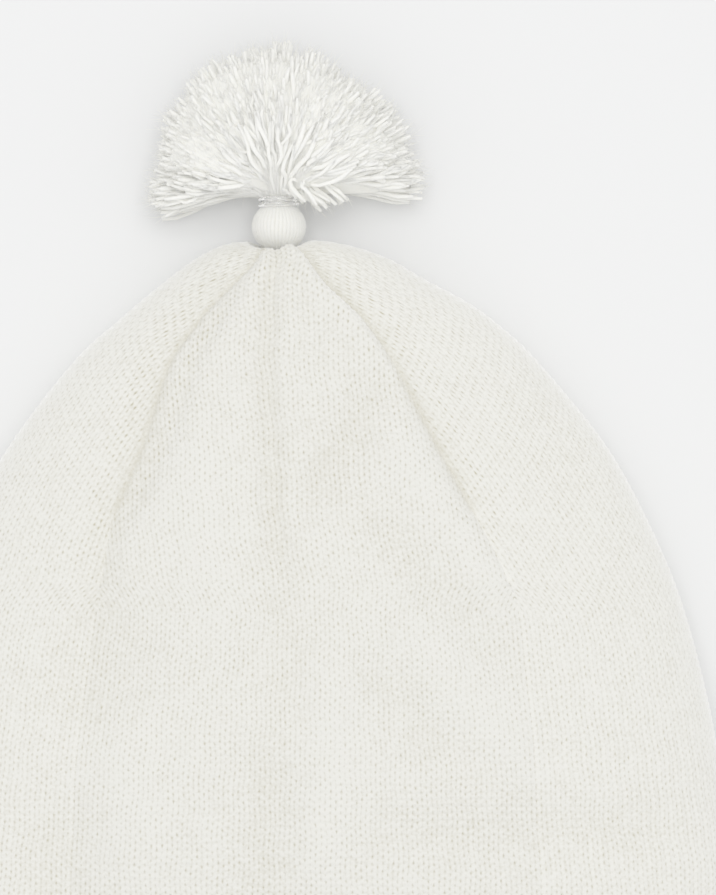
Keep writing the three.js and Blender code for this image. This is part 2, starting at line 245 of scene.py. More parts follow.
@dataclass(frozen=True)
class CrownForm:
    """The shape of the crown's outer face, the same as the solid model's, in millimetres.

    A section is an arched upper half over a lower half that the surface flattens. Its shares are of
    these sizes: at of length, half of half the width, rise of the height above the middle, drop and
    press of the depth below it, turn of the girth.
    """

    length: float = 170.0
    width: float = 166.0
    height: float = 40.0
    side_height: float = 10.8
    tip_height: float = 12.0
    tip_shift: float = -5.2
    wall: float = 1.8
    hem_depth: float = 12.0
    hem_wall: float = 3.0
    seat_depth: float = 1.7
    crest_roundness: float = 2.1
    rest_roundness: float = 2.6
    fold_fade: float = 0.05

    SECTION_STEPS = 1441

    def tip_y(self, tassel: TasselSizes) -> float:
        """Where the crown ends along Y, with the origin under the middle of the whole length."""
        total = self.hem_wall / 2 + self.length + tassel.length
        return total / 2 - tassel.length

    def _columns(self, places: Array) -> dict[str, Array]:
        """Reads every column of SECTIONS at row numbers that may lie between two rows.

        Each column follows the cubic whose slope at a row is half the difference of its neighbours.
        """
        rows = np.clip(np.floor(places).astype(int), 0, len(SECTIONS) - 2)
        share = places - rows
        columns = {}
        for column in (f.name for f in fields(Section)):
            values = np.array([getattr(section, column) for section in SECTIONS], float)
            a, b, c, d = (values[np.clip(rows + k, 0, len(values) - 1)] for k in (-1, 0, 1, 2))
            cubic = 3 * (b - c) + d - a
            bend = 2 * a - 5 * b + 4 * c - d
            columns[column] = b + 0.5 * share * (c - a + share * (bend + share * cubic))
        return columns

    def smooth_grid(self, places: Array, steps: int, tassel: TasselSizes) -> tuple[Array, ...]:
        """The crown without its folds.

        Args:
            places: row numbers into SECTIONS.
            steps: points round each section.
            tassel: sizes of the tassel that the tip carries.

        Returns:
            Points as (rows, steps + 1, 3), and of each row the girth, the share of the length and the
            share of the girth that the front gore takes.
        """
        c = self._columns(places)
        seat = c["seat"] * tassel.head_diameter / 2
        middle = self.side_height + (self.tip_height - self.side_height) * c["tip"]
        half = c["half"] * self.width / 2 + seat
        rise = c["rise"] * (self.height - self.side_height) + seat
        drop = np.minimum(c["drop"], 1) * middle
        press = c["press"] * middle
        y = self.tip_y(tassel) + (c["at"] - 1) * self.length + c["lift"] * self.seat_depth

        angle = np.pi / 2 - np.linspace(0, 2 * np.pi, self.SECTION_STEPS)
        across = np.cos(angle)[None, :]
        up = np.sin(angle)[None, :] >= -1e-12
        power = np.where(up, self.crest_roundness, self.rest_roundness)
        arch = np.maximum(0, 1 - np.abs(across) ** power) ** (1 / power)
        low = np.maximum(-(drop + press)[:, None] * arch, -drop[:, None])
        x = (c["shift"] * self.tip_shift)[:, None] + across * half[:, None]
        z = middle[:, None] + np.where(up, rise[:, None] * arch, low)

        run = np.hypot(np.diff(x), np.diff(z))
        lengths = np.concatenate([np.zeros((len(places), 1)), np.cumsum(run, axis=1)], axis=1)
        girth = lengths[:, -1]
        shares = np.linspace(0, 1, steps + 1)
        points = np.empty((len(places), steps + 1, 3))
        for row in range(len(places)):
            wanted = ((c["turn"][row] + gore_share(shares, c["gore"][row])) % 1) * girth[row]
            points[row, :, 0] = np.interp(wanted, lengths[row], x[row])
            points[row, :, 2] = np.interp(wanted, lengths[row], z[row])
        points[:, :, 1] = y[:, None]
        return points, girth, c["at"], c["gore"]

    def fold_depth(self, shares: Array, at: Array, girth: Array) -> Array:
        """Depth of all folds: each a bell curve across its line that fades past its two ends."""
        depth = np.zeros((len(at), len(shares)))
        for fold in FOLDS:
            turn = (shares[None, :] - fold.around[0] + 0.5) % 1 - 0.5
            place_x = turn * girth[:, None]
            place_y = ((at - fold.at[0]) * self.length)[:, None]
            line_x = ((fold.around[1] - fold.around[0]) * girth)[:, None]
            line_y = (fold.at[1] - fold.at[0]) * self.length
            length = np.hypot(line_x, line_y)
            along = (place_x * line_x + place_y * line_y) / length
            across = (place_x * line_y - place_y * line_x) / length / (fold.width * self.width)
            past = np.maximum(np.maximum(0, -along), along - length) / (self.fold_fade * self.length)
            depth += fold.depth * self.height * np.exp(-(across**2) - past**2)
        return depth


def gore_share(places: Array, gore: float) -> Array:
    """Shares of the girth at even places round it, where each gore has a quarter of the places."""
    half = np.round(places * 2) / 2
    aside = places - half
    past = np.maximum(0, np.abs(aside) - 0.125)
    return half + np.sign(aside) * ((np.abs(aside) - past) * gore * 4 + past * (2 - gore * 4))


def grid_normals(points: Array) -> Array:
    """Outward normals of a grid that closes round its second axis, from its neighbours."""
    round_ = np.empty_like(points)
    round_[:, 1:-1] = points[:, 2:] - points[:, :-2]
    round_[:, 0] = round_[:, -1] = points[:, 1] - points[:, -2]
    return unit(np.cross(round_, np.gradient(points, axis=0)))


def take(grid: Array, rows: Array, columns: Array) -> Array:
    """Reads a grid at row and column numbers that may lie between its points, by straight blends."""
    r0 = np.clip(np.floor(rows).astype(int), 0, grid.shape[0] - 2)
    c0 = np.clip(np.floor(columns).astype(int), 0, grid.shape[1] - 2)
    fr = (rows - r0)[..., None]
    fc = (columns - c0)[..., None]
    near = grid[r0, c0] * (1 - fc) + grid[r0, c0 + 1] * fc
    far = grid[r0 + 1, c0] * (1 - fc) + grid[r0 + 1, c0 + 1] * fc
    return near * (1 - fr) + far * fr


class CrownSurface:
    """The crown's outer face with its folds, measured along its front from the hem."""

    STEPS = 1024
    ROWS = 1601

    def __init__(self, form: CrownForm, tassel: TasselSizes) -> None:
        """Works out the reference grid that every knitted panel is read from."""
        self.form = form
        self.tassel = tassel
        places = np.linspace(0, len(SECTIONS) - 1, self.ROWS)
        points, self.girth, self.at, self.gore = form.smooth_grid(places, self.STEPS, tassel)
        normals = grid_normals(points)
        shares = np.linspace(0, 1, self.STEPS + 1)
        self.depth = form.fold_depth(shares, self.at, self.girth)
        self.points = points - normals * self.depth[..., None]
        self.points[..., 2] = np.maximum(self.points[..., 2], np.minimum(points[..., 2], 0))
        self.normals = grid_normals(self.points)
        front = np.linalg.norm(np.diff(points[:, 0], axis=0), axis=1)
        self.run = np.concatenate([[0], np.cumsum(front)])

    @property
    def length(self) -> float:
        """Length of the front from the hem's edge to the bottom of the tip's seat."""
        return float(self.run[-1])

    def _places(self, run: Array, share: Array) -> tuple[Array, Array]:
        """Row and column numbers of the reference grid, for depth_at and read."""
        rows = np.interp(np.clip(run, 0, self.length), self.run, np.arange(self.ROWS))
        return np.broadcast_to(rows, share.shape), (share % 1) * self.STEPS

    def gore_width(self, run: Array, side: Side) -> Array:
        """Width of a gore at lengths along the front."""
        own = self.gore if side in (Side.FRONT, Side.BACK) else 0.5 - self.gore
        return np.interp(run, self.run, self.girth * own)

    def depth_at(self, run: Array, share: Array) -> Array:
        """Depth of the folds at lengths along the front and shares of the girth."""
        return take(self.depth[..., None], *self._places(run, share))[..., 0]

    def read(self, run: Array, share: Array) -> tuple[Array, Array]:
        """Points and outward normals at lengths along the front and shares of the girth."""
        places = self._places(run, share)
        return take(self.points, *places), unit(take(self.normals, *places))


@dataclass(frozen=True)
class Knit:
    """Stocking stitch: the size of a stitch and of its relief, in millimetres.

    The crown narrows past straight_share of its length, and the wider holes along its decrease
    lines start at marks_share. far_border is the border value away from any decrease line.
    """

    wale: float = 1.885
    course: float = 1.375
    relief: float = 0.34
    gore_wales: int = 46
    straight_share: float = 0.6
    narrowing_share: float = 0.03
    marks_share: float = 0.72
    marks_fade: float = 0.08
    back_relief: float = 0.35
    far_border: float = 6.0
    seat_fade: float = 5.0
    fuzz_count: int = 2700
    fuzz_diameter: float = 0.06
    seed: int = 7

    def relief_at(self, wales: Array, courses: Array) -> Array:
        """Height of the stitches.

        Two legs make a stitch, mirrored about its middle. A leg is a ridge that leans outwards by
        half a stitch as it goes up by half a course, so that the gaps between one leg and the next
        open at the middle of a stitch and, half a course on, at its sides.

        Args:
            wales: place across the knit, in stitches from the middle of one.
            courses: place along it, in courses.

        Returns:
            Height from 0 to 1.
        """
        aside = np.abs(wales - np.round(wales))
        phase = (courses - aside) % 1
        ridge = np.sin(np.pi * phase) ** 0.8
        lens = np.sin(2 * np.pi * aside)
        return (ridge * (0.45 + 0.3 * lens) + 0.4 * lens) / 1.15


@dataclass(frozen=True)
class Surface:
    """A mesh as arrays: points in millimetres, four- and three-sided faces, and values at points.

    A lean above 0 turns its shading normals towards straight up, which shades fine yarn as softly
    as its fuzz would.
    """

    points: Array
    quads: Array
    tris: Array
    uv: Array | None = None
    values: dict[str, Array] | None = None
    lean: float = 0.0

    def build(self, name: str, material: Material) -> Piece:
        """Makes the object, smooth-shaded, with its place in its mesh.

        Args:
            name: name of the piece.
            material: its finish.

        Returns:
            The linked object.
        """
        mesh = bpy.data.meshes.new(name)
        loops = np.concatenate([self.quads.ravel(), self.tris.ravel()]).astype(np.int32)
        totals = np.repeat([4, 3], [len(self.quads), len(self.tris)])
        starts = (np.cumsum(totals) - totals).astype(np.int32)
        mesh.vertices.add(len(self.points))
        mesh.vertices.foreach_set("co", (self.points * MM).astype(np.float32).ravel())
        mesh.loops.add(len(loops))
        mesh.loops.foreach_set("vertex_index", loops)
        mesh.polygons.add(len(totals))
        mesh.polygons.foreach_set("loop_start", starts)
        mesh.polygons.foreach_set("use_smooth", np.ones(len(totals), bool))
        if self.uv is not None:
            layer = mesh.uv_layers.new(name="yarn")
            layer.data.foreach_set("uv", self.uv[loops].astype(np.float32).ravel())
        for key, value in (self.values or {}).items():
            attribute = mesh.attributes.new(key, "FLOAT", "POINT")
            attribute.data.foreach_set("value", value.astype(np.float32).ravel())
        mesh.update(calc_edges=True)
        mesh.validate()
        if self.lean:
            normals = np.empty(len(self.points) * 3, np.float32)
            mesh.vertex_normals.foreach_get("vector", normals)
            leaning = unit(normals.reshape(-1, 3) + [[0.0, 0.0, self.lean]])
            mesh.normals_split_custom_set_from_vertices(leaning)
        mesh.materials.append(material)
        triangles = 2 * len(self.quads) + len(self.tris)
        LOG.info("%s: %d points, %d triangles", name, len(self.points), triangles)
        return linked(name, mesh)


def ring_faces(rows: int, sides: int) -> Array:
    """Four-sided faces from each ring of points to the next; those of the last close a loop."""
    index = np.arange(rows * sides).reshape(rows, sides)
    ahead = np.roll(index, -1, axis=0)
    corners = [index, np.roll(index, -1, axis=1), np.roll(ahead, -1, axis=1), ahead]
    return np.stack(corners, axis=-1).reshape(-1, 4)


def tube_faces(rows: int, sides: int, tubes: int = 1) -> tuple[Array, Array]:
    """Faces of tubes whose points run round each ring, then along, then an end point at each end.

    Args:
        rows: rings of a tube.
        sides: points of a ring.
        tubes: how many tubes follow one another.

    Returns:
        Four-sided faces of the walls and three-sided faces of the ends.
    """
    quads = ring_faces(rows, sides)[:-sides]
    ring = np.arange(sides)
    after = (ring + 1) % sides
    start = np.full(sides, rows * sides)
    last = (rows - 1) * sides
    first_cap = np.stack([start, after, ring], axis=-1)
    last_cap = np.stack([start + 1, last + ring, last + after], axis=-1)
    tris = np.concatenate([first_cap, last_cap])
    offsets = (np.arange(tubes) * (rows * sides + 2))[:, None, None]
    return (quads + offsets).reshape(-1, 4), (tris + offsets).reshape(-1, 3)


def closed_tube(points: Array, ends: Array, uv: Array, tone: Array, end_tone_and_shade: float) -> Surface:
    """One tube from its rings as (rings, sides, 3), with a point at each end."""
    flat = np.concatenate([points.reshape(-1, 3), ends])
    uv = np.concatenate([uv.reshape(-1, 2), np.zeros((2, 2))])
    tone = np.concatenate([tone.ravel(), [end_tone_and_shade, end_tone_and_shade]])
    return Surface(flat, *tube_faces(*points.shape[:2]), uv, {"tone": tone})


def tube_points(
    paths: Array, ahead: Array, first: Array, radius: Array, sides: int, tips: Array
) -> Array:
    """Points of round tubes, in the order that tube_faces wants.

    Args:
        paths: centre lines as (tubes, rows, 3).
        ahead: unit vectors along them, one for each tube or each row.
        first: unit vectors square to ahead, towards each ring's first point.
        radius: radii as (tubes, rows, 1, 1), or 1 in place of tubes.
        sides: points of a ring.
        tips: the point past each last ring.

    Returns:
        Points as (all points, 3).
    """
    side = np.linspace(0, 2 * np.pi, sides, endpoint=False)[:, None]
    second = np.cross(ahead, first)
    ring = first[:, :, None] * np.cos(side) + second[:, :, None] * np.sin(side)
    points = (paths[:, :, None] + ring * radius).reshape(len(paths), -1, 3)
    return np.concatenate([points, np.stack([paths[:, 0], tips], axis=1)], axis=1).reshape(-1, 3)


def fibres(starts: Array, ways: Array, bends: Array, diameter: float) -> Surface:
    """Loose fibres: thin three-sided tubes that taper.

    Args:
        starts: where each begins, as (fibres, 3).
        ways: from its start to its end if it were straight.
        bends: how far its end is pushed aside from there, growing with the square of the way.
        diameter: at the start.

    Returns:
        All of them as one surface.
    """
    rows, sides = 3, 3
    t = np.linspace(0, 1, rows)[None, :, None]
    paths = starts[:, None] + ways[:, None] * t + bends[:, None] * t**2
    ahead = unit(ways)
    steep = np.abs(ahead[:, 2:]) >= 0.8
    first = unit(np.cross(ahead, np.where(steep, [[1.0, 0.0, 0.0]], [[0.0, 0.0, 1.0]])))
    radius = diameter / 2 * (1 - 0.7 * t)[..., None]
    flat = tube_points(paths, ahead[:, None], first[:, None], radius, sides, paths[:, -1])
    flat[:, 2] = np.maximum(flat[:, 2], 0.02)
    quads, tris = tube_faces(rows, sides, len(starts))
    return Surface(flat, quads, tris, np.zeros((len(flat), 2)), {"tone": np.zeros(len(flat))})


class Wire:
    """A number that runs through a material's nodes, with arithmetic that adds Math nodes."""

    def __init__(self, graph: Graph, socket: Socket) -> None:
        """Wraps an output socket."""
        self.graph = graph
        self.socket = socket

    def math(self, operation: str, *others: Wire | float, clamp: bool = False) -> Wire:
        """Adds one Math node with this number first."""
        inputs = dict(enumerate((self, *others)))
        settings = {"operation": operation, "use_clamp": clamp}
        return self.graph.add("ShaderNodeMath", settings, inputs)

    def __rsub__(self, other: float) -> Wire:
        """A plain number less this one."""
        return self.graph.add("ShaderNodeMath", {"operation": "SUBTRACT"}, {0: other, 1: self})

    __add__ = partialmethod(math, "ADD")
    __sub__ = partialmethod(math, "SUBTRACT")
    __mul__ = partialmethod(math, "MULTIPLY")
    clamp = partialmethod(math, "ADD", 0.0, clamp=True)
    distance = partialmethod(math, "ABSOLUTE")
    fract = partialmethod(math, "FRACT")
    power = partialmethod(math, "POWER")
    rounded = partialmethod(math, "ROUND")
    sine = partialmethod(math, "SINE")
    zigzag = partialmethod(math, "PINGPONG")


class Graph:
    """A material and its nodes."""

    def __init__(self, name: str) -> None:
        """Starts an empty material."""
        self.material = bpy.data.materials.new(name)
        self.material.use_nodes = True
        self.tree = self.material.node_tree
        self.tree.nodes.clear()

    def node(
        self, kind: str, settings: dict | None = None, inputs: dict | None = None
    ) -> bpy.types.Node:
        """Adds a node.

        Args:
            kind: its type.
            settings: values of its own properties.
            inputs: socket names or numbers to a wire, a socket or a plain value.

        Returns:
            The node.
        """
        node = self.tree.nodes.new(kind)
        for key, value in (settings or {}).items():
            setattr(node, key, value)
        for key, value in (inputs or {}).items():
            if isinstance(value, Wire):
                self.tree.links.new(value.socket, node.inputs[key])
            elif isinstance(value, Socket):
                self.tree.links.new(value, node.inputs[key])
            else:
                node.inputs[key].default_value = value
        return node

    def add(self, kind: str, settings: dict, inputs: dict, output: str | int = 0) -> Wire:
        """Adds a node and returns one of its outputs as a number."""
        return Wire(self, self.node(kind, settings, inputs).outputs[output])

    def uv(self) -> tuple[Wire, Wire]:
        """The piece's own UV map as two numbers."""
        vector = self.node("ShaderNodeUVMap", {"uv_map": "yarn"}).outputs["UV"]
        parts = self.node("ShaderNodeSeparateXYZ", None, {0: vector}).outputs
        return Wire(self, parts[0]), Wire(self, parts[1])

    def place(self) -> Socket:
        """Object coordinates, in metres."""
        return self.node("ShaderNodeTexCoord").outputs["Object"]

    def noise(self, vector: Socket, scale: float, detail: float) -> Wire:
        """Smooth noise from 0 to 1."""
        inputs = {"Vector": vector, "Scale": scale, "Detail": detail}
        return self.add("ShaderNodeTexNoise", {"noise_dimensions": "3D"}, inputs)

    def chance(self, first: Wire, second: Wire) -> Wire:
        """A random number from 0 to 1 for each pair of whole numbers."""
        cell = self.node("ShaderNodeCombineXYZ", None, {0: first, 1: second}).outputs[0]
        settings = {"noise_dimensions": "2D"}
        return self.add("ShaderNodeTexWhiteNoise", settings, {"Vector": cell}, "Value")

    def attribute(self, name: str) -> Wire:
        """A value kept at the piece's points."""
        return self.add("ShaderNodeAttribute", {"attribute_name": name}, {}, "Fac")

    def blend(self, share: Wire, first: Triple | Socket, second: Triple) -> Socket:
        """A colour between two, by a share from 0 to 1. The first may be a blend itself."""
        start = (*first, 1) if isinstance(first, tuple) else first
        settings = {"data_type": "RGBA", "clamp_factor": True}
        inputs = {0: share, 6: start, 7: (*second, 1)}
        return self.node("ShaderNodeMix", settings, inputs).outputs[2]

    def finish(
        self, bump: Wire | None = None, bump_height: float = 0.0, **surface: object
    ) -> Material:
        """Adds the shader and the output.

        Args:
            bump: relief from 0 to 1.
            bump_height: what 1 stands for, in millimetres.
            **surface: inputs of the shader, with _ for a space.

        Returns:
            The material.
        """
        inputs = {key.replace("_", " "): value for key, value in surface.items()}
        if bump is not None:
            height = {"Strength": 1.0, "Distance": bump_height * MM, "Height": bump}
            inputs["Normal"] = self.node("ShaderNodeBump", None, height).outputs[0]
        shader = self.node("ShaderNodeBsdfPrincipled", None, inputs)
        self.node("ShaderNodeOutputMaterial", None, {"Surface": shader.outputs[0]})
        return self.material


@dataclass(frozen=True)
class KnitFinish:
    """Fine white stocking stitch: matt, with warm painted shade in its gaps and creases and painted
    light on its sides.
    """

    yarn: Triple = (0.75, 0.742, 0.677)
    # colour of the painted shade in gaps, creases and folds, and the dark end of the random mottle
    gap: Triple = (0.4, 0.36, 0.23)
    # lighter colour painted on the sides as light
    flank: Triple = (0.88, 0.87, 0.8)
    fibre_height: float = 0.08
    fibre_scale: float = 1900.0
    mottle_scale: float = 300.0
    gap_opening: float = 0.42
    gap_variety: float = 0.9
    gap_shade_weight: float = 0.85
    mark_place: float = 2.2
    mark_opening: float = 1.6
    # weight of the painted shade in the folds, for each millimetre of their depth
    crease_shade_weight: float = 0.06

    def build(self, name: str) -> Material:
        """Makes the material.

        The UV map counts stitches and courses. The gaps are where Knit.relief_at has them, each opened
        by its own random share. They are darkened with warm painted shade, and so are the grooves
        between the legs, more faintly. The border value is the distance from a decrease line in
        stitches. The line itself is a crease darkened with painted shade, and mark_place stitches from
        it lie the wider holes where stitches were moved in, with more painted shade. The crease value
        is the depth of the folds in millimetres, and the folds are darkened with painted shade by it.
        The flank value grows as the surface turns away from straight up. There the colour is lightened
        with painted light, in place of the light that the yarn's fuzz catches, and the gaps get less
        painted shade.
        """
        graph = Graph(name)
        wales, courses = graph.uv()
        place = graph.place()
        aside = wales.zigzag(0.5)
        phase = (courses - aside).fract()
        ridge = (phase * math.pi).sine().power(0.8)
        lens = (aside * (2 * math.pi)).sine()
        half = (wales * 2.0).rounded()
        row = (courses - half.zigzag(1.0) * 0.5).rounded()
        border = graph.attribute("border")
        near_mark = (1.0 - (border - self.mark_place).distance()).clamp()
        mark = near_mark * graph.chance(row, half).power(2.0) * self.mark_opening
        own = graph.chance(half, row).power(1.2) * self.gap_variety + self.gap_opening
        line = 1.0 - lens
        # painted shade in the gaps between stitches, more in the wider holes by the decrease lines,
        # faint along the grooves between the legs
        gap = (1.0 - ridge) * line.power(1.5) * (own + mark) + line * 0.13
        fibre = graph.noise(place, self.fibre_scale, 3.0)
        mottle = graph.noise(place, self.mottle_scale, 3.0)
        # painted shade along the crease of each decrease line and in the folds, by their depth
        crease_shade = (1.0 - border * 1.5).clamp() * 0.3 + graph.attribute("crease") * self.crease_shade_weight
        flank = graph.attribute("flank")
        # the gaps get less painted shade where the sides get painted light
        gap = gap * (border * 2.0).clamp() * (1.0 - flank * 0.5)
        # painted shade from the gaps and creases, with random mottle and fibre tone
        shade = gap * self.gap_shade_weight + crease_shade + (mottle - 0.5) * 0.3 + (fibre - 0.5) * 0.95
        # painted light: the colour lightens as the surface turns away from straight up
        lit = graph.blend(flank, self.yarn, self.flank)
        return graph.finish(
            bump=ridge * 0.6 + fibre * 0.8,
            bump_height=self.fibre_height,
            Base_Color=graph.blend(shade.clamp(), lit, self.gap),
            Roughness=0.92,
            Specular_IOR_Level=0.25,
            Sheen_Weight=1.0,
            Sheen_Roughness=0.4,
        )


@dataclass(frozen=True)
class YarnFinish:
    """White two-ply yarn: soft and matt, with painted shade in the line between its plies, and fine
    fibres.
    """

    yarn: Triple = (0.982, 0.97, 0.875)
    # dark end of the painted shade and of the random tone
    dark_tone_and_shade: Triple = (0.93, 0.91, 0.8)
    relief_height: float = 0.06
    subsurface: float = 0.6
    spread: float = 0.001
    fibre_scale: float = 4200.0
    mottle_scale: float = 420.0

    def build(self, name: str) -> Material:
        """Makes the material.

        The UV map has the share round a yarn and the turns of its plies. The tone value darkens a
        point. It differs at random from strand to strand, and on the ball and the fan's core it is
        painted shade in the grooves between yarns and between ribs.
        """
        graph = Graph(name)
        around, turns = graph.uv()
        place = graph.place()
        phase = ((around - turns) * 2.0).fract()
        ply = (phase * math.pi).sine().power(0.6)
        fibre = graph.noise(place, self.fibre_scale, 3.0)
        mottle = graph.noise(place, self.mottle_scale, 2.0)
        # painted shade in the line between the plies and by the tone value, with random mottle
        shade = graph.attribute("tone") * 0.5 + (1.0 - ply) * 0.2 + (mottle - 0.5) * 0.2
        return graph.finish(
            bump=ply * 0.75 + fibre * 0.35,
            bump_height=self.relief_height,
            Base_Color=graph.blend(shade.clamp(), self.yarn, self.dark_tone_and_shade),
            Roughness=0.9,
            Specular_IOR_Level=0.2,
            Subsurface_Weight=self.subsurface,
            Subsurface_Radius=(1.0, 0.97, 0.9),
            Subsurface_Scale=self.spread,
            Sheen_Weight=0.7,
            Sheen_Roughness=0.5,
        )


@dataclass(frozen=True)
class ThreadFinish:
    """Clear elastic thread, glossy and slightly milky."""

    tint: Triple = (0.97, 0.97, 0.96)

    def build(self, name: str) -> Material:
        """Makes the material, with faint lengthwise waviness in its gloss."""
        graph = Graph(name)
        wave = graph.noise(graph.place(), 900.0, 1.0)
        return graph.finish(
            bump=wave,
            bump_height=0.03,
            Base_Color=(*self.tint, 1),
            Roughness=wave * 0.06 + 0.03,
            Transmission_Weight=0.85,
            IOR=1.42,
            Coat_Weight=0.6,
            Coat_Roughness=0.03,
        )


@dataclass(frozen=True)
class FloorFinish:
    """A plain pale table top."""

    colour: Triple = (0.79, 0.795, 0.795)

    def build(self, name: str) -> Material:
        """Makes the material."""
        colour = (*self.colour, 1)
        return Graph(name).finish(Base_Color=colour, Roughness=0.7, Specular_IOR_Level=0.2)


class KnitCrown:
    """The crown: four gores of stitches that run to their decrease lines, and the inner face.

    COLUMNS and ROWS are the grid's lines in a stitch and in a course.
    """

    COLUMNS = {Side.FRONT: 4, Side.LEFT: 3, Side.RIGHT: 3, Side.BACK: 1}
    ROWS = 4
    INSIDE_STEPS = 128
    INSIDE_WALES = 192

    def __init__(self, surface: CrownSurface, knit: Knit) -> None:
        """Keeps the surface that the stitches follow."""
        self.surface = surface
        self.form = surface.form
        self.knit = knit
        self.rng = np.random.default_rng(knit.seed)

    def _wrap(self, run: Array, share: Array) -> tuple[Array, Array]:
        """Points and normals for lengths that go on round the hem's edge and up inside it.

        Below 0 a length first goes round a half circle as wide as the hem's wall, and then up the
        inner face.
        """
        form = self.form
        radius = form.hem_wall / 2
        bend = math.pi * radius
        inside = np.maximum(-run - bend, 0)
        points, normals = self.surface.read(np.where(run < 0, inside, run), share)
        turn = np.clip(-run / radius, 0, math.pi)[..., None]
        centre = points - normals * radius
        down = np.zeros_like(points)
        down[..., 1] = -1
        facing = normals * np.cos(turn) + down * np.sin(turn)
        return centre + facing * radius, facing

    def gore(self, side: Side) -> Surface:
        """One gore as a grid of stitches, narrowed by dropping the stitches past its two edges.

        Args:
            side: which gore.

        Returns:
            The surface, with stitch numbers as its UV map.
        """
        knit = self.knit
        bend = math.pi * self.form.hem_wall / 2
        first = -int((bend + self.form.hem_depth) / knit.course * self.ROWS)
        last = int(self.surface.length / knit.course * self.ROWS)
        courses = np.arange(first, last + 1) / self.ROWS
        run = np.minimum(courses * knit.course, self.surface.length)
        along = np.where(run < 0, np.maximum(-run - bend, 0), run)
        width = self.surface.gore_width(along, side)
        past = along / self.form.length - knit.straight_share
        narrowing = np.clip(past / knit.narrowing_share, 0, 1)
        full = knit.gore_wales / 2
        edge = full + (np.minimum(width / 2 / knit.wale, full) - full) * narrowing
        wale = width / 2 / edge

        columns = self.COLUMNS[side]
        reach = math.ceil(edge.max() * columns)
        wales = np.arange(-reach, reach + 1) / columns
        clamped = np.clip(wales[None, :], -edge[:, None], edge[:, None])
        around = np.broadcast_to(courses[:, None], clamped.shape)
        to_edge = edge[:, None] - np.abs(clamped)
        narrow = narrowing[:, None]
        border = to_edge * narrow + knit.far_border * (1 - narrow)
        near_edge = np.clip(border / 0.5, 0, 1)
        aside, ahead = self._wobble(clamped, around)
        calm = np.clip(to_edge / 4, 0, 1)
        aside, ahead = aside * calm, ahead * calm
        settled = (run > 0)[:, None]
        share = side.value + (clamped + aside) * (wale / width / 4)[:, None]
        run_here = run[:, None] + ahead * knit.course * settled
        points, normals = self._wrap(run_here, share)

        height = knit.relief_at(clamped, around)
        seat = np.clip((self.surface.length - run) / knit.seat_fade, 0, 1)[:, None]
        fade = near_edge * near_edge * (3 - 2 * near_edge) * seat
        back = knit.back_relief if side is Side.BACK else 1.0
        level = height * fade - 0.5 * (1 - near_edge) - 0.5
        points = points + normals * (level * knit.relief * back)[..., None]
        points[..., 2] = np.maximum(points[..., 2], 0)
        before = knit.marks_share - run / self.form.length
        fading = 4 * np.clip(before / knit.marks_fade, 0, 1)[:, None]
        values = {
            "border": np.minimum(border + fading, knit.far_border * seat),
            "crease": self.surface.depth_at(run[:, None], share),
            # painted light on the sides, by how far the surface turns away from straight up
            "flank": np.clip(1 - normals[..., 2], 0, 1),
        }
        return self._weld(points, clamped, around, values, wales, edge)

    def _wobble(self, wales: Array, courses: Array) -> tuple[Array, Array]:
        """Slow unevenness of the stitches, in stitches: a few long waves that cross."""
        across = 0.07 * np.sin(courses * 0.9 + wales * 0.31)
        across = across + 0.05 * np.sin(courses * 0.37 - wales * 0.83)
        along = 0.07 * np.sin(wales * 1.1 + courses * 0.23)
        along = along + 0.05 * np.sin(wales * 0.43 - courses * 0.51)
        return across, along

    @staticmethod
    def _weld(
        points: Array,
        wales: Array,
        courses: Array,
        values: dict[str, Array],
        lines: Array,
        edge: Array,
    ) -> Surface:
        """Joins the grid's points that lie on a gore's edge into one for each row."""
        rows, columns = wales.shape
        index = np.arange(rows * columns).reshape(rows, columns)
        left = lines[None, :] <= -edge[:, None]
        right = lines[None, :] >= edge[:, None]
        index = np.where(left, index[:, :1], index)
        index = np.where(right, index[:, -1:], index)
        corners = [index[:-1, :-1], index[:-1, 1:], index[1:, 1:], index[1:, :-1]]
        a, b, c, d = (corner.ravel() for corner in corners)
        low = a == b
        high = c == d
        quads = np.stack([a, b, c, d], axis=1)[~low & ~high]
        peaks = np.stack([a, b, c], axis=1)[~low & high]
        feet = np.stack([a, c, d], axis=1)[low & ~high]
        tris = np.concatenate([peaks, feet])
        used, packed = np.unique(np.concatenate([quads.ravel(), tris.ravel()]), return_inverse=True)
        quads = packed[: quads.size].reshape(-1, 4)
        tris = packed[quads.size :].reshape(-1, 3)
        uv = np.stack([wales.ravel()[used], courses.ravel()[used]], axis=1)
        kept = {key: value.ravel()[used] for key, value in values.items()}
        return Surface(points.reshape(-1, 3)[used], quads, tris, uv, kept)

